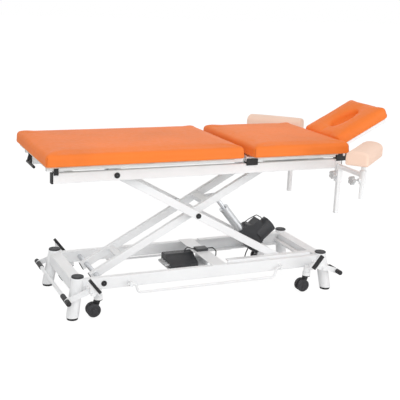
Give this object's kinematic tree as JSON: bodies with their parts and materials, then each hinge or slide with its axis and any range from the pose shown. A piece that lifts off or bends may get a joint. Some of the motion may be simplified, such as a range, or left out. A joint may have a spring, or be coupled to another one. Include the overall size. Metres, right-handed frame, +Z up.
{
  "type": "treatment table",
  "caption": "Scissor-lift treatment table with an upholstered lifting section, fixed section, tilting head section with face slot, outboard armrests, foot bars and lowering castors.",
  "frame": {"origin": "middle of the bounding box, on the floor", "axes": "+X towards the head section, +Y towards the far side, +Z up"},
  "size_m": [1.9227, 1.2394, 0.9708],
  "materials": {
    "white_paint": "satin",
    "steel": "satin",
    "rod_steel": "polished",
    "orange_vinyl": "satin",
    "apricot_vinyl": "satin",
    "black_plastic": "matte",
    "dark_plastic": "matte",
    "light_plastic": "matte",
    "black_rubber": "matte",
    "motor_grey": "satin",
    "tube_aluminium": "satin",
    "board": "matte"
  },
  "bodies": {
    "base": {"legs": "white_paint", "rubber_feet": "black_rubber", "base_caps": "dark_plastic", "base_rails": "white_paint", "base_cross_members": "white_paint", "lower_pivot_axle": "steel", "control_box": "dark_plastic", "control_plugs": "light_plastic", "actuator_cable": "black_rubber", "switch_cable": "black_rubber"},
    "inner_arms": {"inner_arms": "white_paint", "inner_arm_caps": "black_plastic", "inner_cross": "white_paint", "centre_axle": "steel"},
    "outer_arms": {"outer_arms": "white_paint", "outer_arm_caps": "black_plastic", "outer_cross": "white_paint"},
    "lower_rollers": {"lower_rollers": "steel"},
    "upper_rollers": {"upper_rollers": "steel"},
    "actuator": {"actuator_case": "motor_grey", "actuator_tube": "tube_aluminium", "motor_lead": "black_rubber"},
    "actuator_rod": {"actuator_rod": "rod_steel"},
    "top_frame": {"top_rails": "white_paint", "upper_pivot_axle": "steel", "rest_blocks": "black_plastic", "section_b_frame": "white_paint", "section_b_board": "board", "section_b_pad": "orange_vinyl", "arm_sockets": "white_paint"},
    "section_a": {"section_a_frame": "white_paint", "section_a_board": "board", "section_a_pad": "orange_vinyl"},
    "release_lever": {"release_lever": "black_plastic"},
    "head": {"head_frame": "white_paint", "head_pad": "orange_vinyl"},
    "foot_bar_near": {"foot_bar_near": "white_paint"},
    "foot_bar_far": {"foot_bar_far": "white_paint"},
    "rocker_foot": {"castor_rocker_foot": "white_paint", "rocker_grips_foot": "black_plastic"},
    "castor_foot_near": {"castor_fork_foot_near": "white_paint"},
    "wheel_foot_near": {"castor_wheel_foot_near": "black_rubber"},
    "castor_foot_far": {"castor_fork_foot_far": "white_paint"},
    "wheel_foot_far": {"castor_wheel_foot_far": "black_rubber"},
    "rocker_head": {"castor_rocker_head": "white_paint", "rocker_grips_head": "black_plastic"},
    "castor_head_near": {"castor_fork_head_near": "white_paint"},
    "wheel_head_near": {"castor_wheel_head_near": "black_rubber"},
    "castor_head_far": {"castor_fork_head_far": "white_paint"},
    "wheel_head_far": {"castor_wheel_head_far": "black_rubber"},
    "armrest_arm_near": {"armrest_arm_near": "white_paint"},
    "pad_post_near": {"pad_post_near": "white_paint"},
    "armrest_pad_near": {"armrest_pad_near": "apricot_vinyl"},
    "knob_low_near": {"knob_low_near": "light_plastic"},
    "knob_high_near": {"knob_high_near": "light_plastic"},
    "armrest_arm_far": {"armrest_arm_far": "white_paint"},
    "pad_post_far": {"pad_post_far": "white_paint"},
    "armrest_pad_far": {"armrest_pad_far": "apricot_vinyl"},
    "knob_low_far": {"knob_low_far": "light_plastic"},
    "knob_high_far": {"knob_high_far": "light_plastic"}
  },
  "joints": [
    {"name": "lift", "type": "hinge", "parent": "base", "child": "inner_arms", "pos_m": [-0.65635, 0, 0.158], "axis": [0, -1, 0], "range_deg": [-12, 7]},
    {"name": "scissor_cross", "type": "hinge", "parent": "inner_arms", "child": "outer_arms", "pos_m": [-0.14322, 0, 0.43893], "axis": [0, -1, 0], "range_deg": [-14.1, 24.1]},
    {"name": "top_level", "type": "hinge", "parent": "outer_arms", "child": "top_frame", "pos_m": [-0.59978, 0, 0.68889], "axis": [0, -1, 0], "range_deg": [-12.1, 7.1]},
    {"name": "lower_roller_spin", "type": "hinge", "parent": "outer_arms", "child": "lower_rollers", "pos_m": [0.36991, 0, 0.158], "axis": [0, 1, 0], "continuous": true},
    {"name": "upper_roller_spin", "type": "hinge", "parent": "inner_arms", "child": "upper_rollers", "pos_m": [0.31333, 0, 0.68889], "axis": [0, 1, 0], "continuous": true},
    {"name": "actuator_tail", "type": "hinge", "parent": "outer_arms", "child": "actuator", "pos_m": [0.30091, 0, 0.15], "axis": [0, -1, 0], "range_deg": [-3.1, 5.1]},
    {"name": "actuator_stroke", "type": "slide", "parent": "actuator", "child": "actuator_rod", "axis": [-0.6361, 0, 0.7716], "range_m": [-0.0602, 0.0352]},
    {"name": "section_a_tilt", "type": "hinge", "parent": "top_frame", "child": "section_a", "pos_m": [0.04665, 0, 0.73589], "axis": [0, 1, 0], "range_deg": [0, 30]},
    {"name": "release_lever_pull", "type": "hinge", "parent": "section_a", "child": "release_lever", "pos_m": [-0.92335, 0, 0.73889], "axis": [0, 1, 0], "range_deg": [0, 30], "stiffness_Nm_per_rad": 2},
    {"name": "head_tilt", "type": "hinge", "parent": "top_frame", "child": "head", "pos_m": [0.64865, 0, 0.73589], "axis": [0, -1, 0], "range_deg": [-57, 4]},
    {"name": "rocker_foot", "type": "hinge", "parent": "base", "child": "rocker_foot", "pos_m": [-0.74135, 0, 0.15], "axis": [0, 1, 0], "range_deg": [0, 12]},
    {"name": "castor_swivel_foot_near", "type": "hinge", "parent": "rocker_foot", "child": "castor_foot_near", "pos_m": [-0.69335, -0.258, 0.09], "axis": [0, 0, 1], "continuous": true},
    {"name": "castor_wheel_spin_foot_near", "type": "hinge", "parent": "castor_foot_near", "child": "wheel_foot_near", "pos_m": [-0.71835, -0.258, 0.0425], "axis": [0, 1, 0], "continuous": true},
    {"name": "castor_swivel_foot_far", "type": "hinge", "parent": "rocker_foot", "child": "castor_foot_far", "pos_m": [-0.69335, 0.258, 0.09], "axis": [0, 0, 1], "continuous": true},
    {"name": "castor_wheel_spin_foot_far", "type": "hinge", "parent": "castor_foot_far", "child": "wheel_foot_far", "pos_m": [-0.71835, 0.258, 0.0425], "axis": [0, 1, 0], "continuous": true},
    {"name": "rocker_head", "type": "hinge", "parent": "base", "child": "rocker_head", "pos_m": [0.51591, 0, 0.15], "axis": [0, -1, 0], "range_deg": [0, 12]},
    {"name": "castor_swivel_head_near", "type": "hinge", "parent": "rocker_head", "child": "castor_head_near", "pos_m": [0.45991, -0.258, 0.09], "axis": [0, 0, 1], "continuous": true},
    {"name": "castor_wheel_spin_head_near", "type": "hinge", "parent": "castor_head_near", "child": "wheel_head_near", "pos_m": [0.43491, -0.258, 0.0425], "axis": [0, 1, 0], "continuous": true},
    {"name": "castor_swivel_head_far", "type": "hinge", "parent": "rocker_head", "child": "castor_head_far", "pos_m": [0.45991, 0.258, 0.09], "axis": [0, 0, 1], "continuous": true},
    {"name": "castor_wheel_spin_head_far", "type": "hinge", "parent": "castor_head_far", "child": "wheel_head_far", "pos_m": [0.43491, 0.258, 0.0425], "axis": [0, 1, 0], "continuous": true},
    {"name": "foot_bar_press_near", "type": "hinge", "parent": "base", "child": "foot_bar_near", "pos_m": [-0.11135, -0.253, 0.15], "axis": [1, 0, 0], "range_deg": [0, 10], "stiffness_Nm_per_rad": 6},
    {"name": "foot_bar_press_far", "type": "hinge", "parent": "base", "child": "foot_bar_far", "pos_m": [-0.11135, 0.253, 0.15], "axis": [-1, 0, 0], "range_deg": [0, 10], "stiffness_Nm_per_rad": 6},
    {"name": "armrest_height_near", "type": "slide", "parent": "top_frame", "child": "armrest_arm_near", "axis": [0, 0, 1], "range_m": [0, 0.06]},
    {"name": "pad_height_near", "type": "slide", "parent": "armrest_arm_near", "child": "pad_post_near", "axis": [0, 0, 1], "range_m": [-0.04, 0.1]},
    {"name": "pad_swivel_near", "type": "hinge", "parent": "pad_post_near", "child": "armrest_pad_near", "pos_m": [0.61565, -0.464, 0.75189], "axis": [0, 0, 1], "range_deg": [-60, 5]},
    {"name": "knob_low_spin_near", "type": "hinge", "parent": "top_frame", "child": "knob_low_near", "pos_m": [0.56965, -0.25, 0.63489], "axis": [1, 0, 0], "continuous": true},
    {"name": "knob_high_spin_near", "type": "hinge", "parent": "armrest_arm_near", "child": "knob_high_near", "pos_m": [0.54465, -0.464, 0.65489], "axis": [1, 0, 0], "continuous": true},
    {"name": "armrest_height_far", "type": "slide", "parent": "top_frame", "child": "armrest_arm_far", "axis": [0, 0, 1], "range_m": [0, 0.06]},
    {"name": "pad_height_far", "type": "slide", "parent": "armrest_arm_far", "child": "pad_post_far", "axis": [0, 0, 1], "range_m": [-0.04, 0.1]},
    {"name": "pad_swivel_far", "type": "hinge", "parent": "pad_post_far", "child": "armrest_pad_far", "pos_m": [0.61565, 0.464, 0.75189], "axis": [0, 0, -1], "range_deg": [-60, 5]},
    {"name": "knob_low_spin_far", "type": "hinge", "parent": "top_frame", "child": "knob_low_far", "pos_m": [0.56965, 0.25, 0.63489], "axis": [1, 0, 0], "continuous": true},
    {"name": "knob_high_spin_far", "type": "hinge", "parent": "armrest_arm_far", "child": "knob_high_far", "pos_m": [0.54465, 0.464, 0.65489], "axis": [1, 0, 0], "continuous": true}
  ],
  "couplings": [
    {"joint": "scissor_cross", "follows": "lift", "ratio": -2},
    {"joint": "top_level", "follows": "lift", "ratio": 1},
    {"joint": "actuator_tail", "follows": "lift", "ratio": -0.42},
    {"joint": "actuator_stroke", "follows": "lift", "m_per_rad": 0.285}
  ]
}
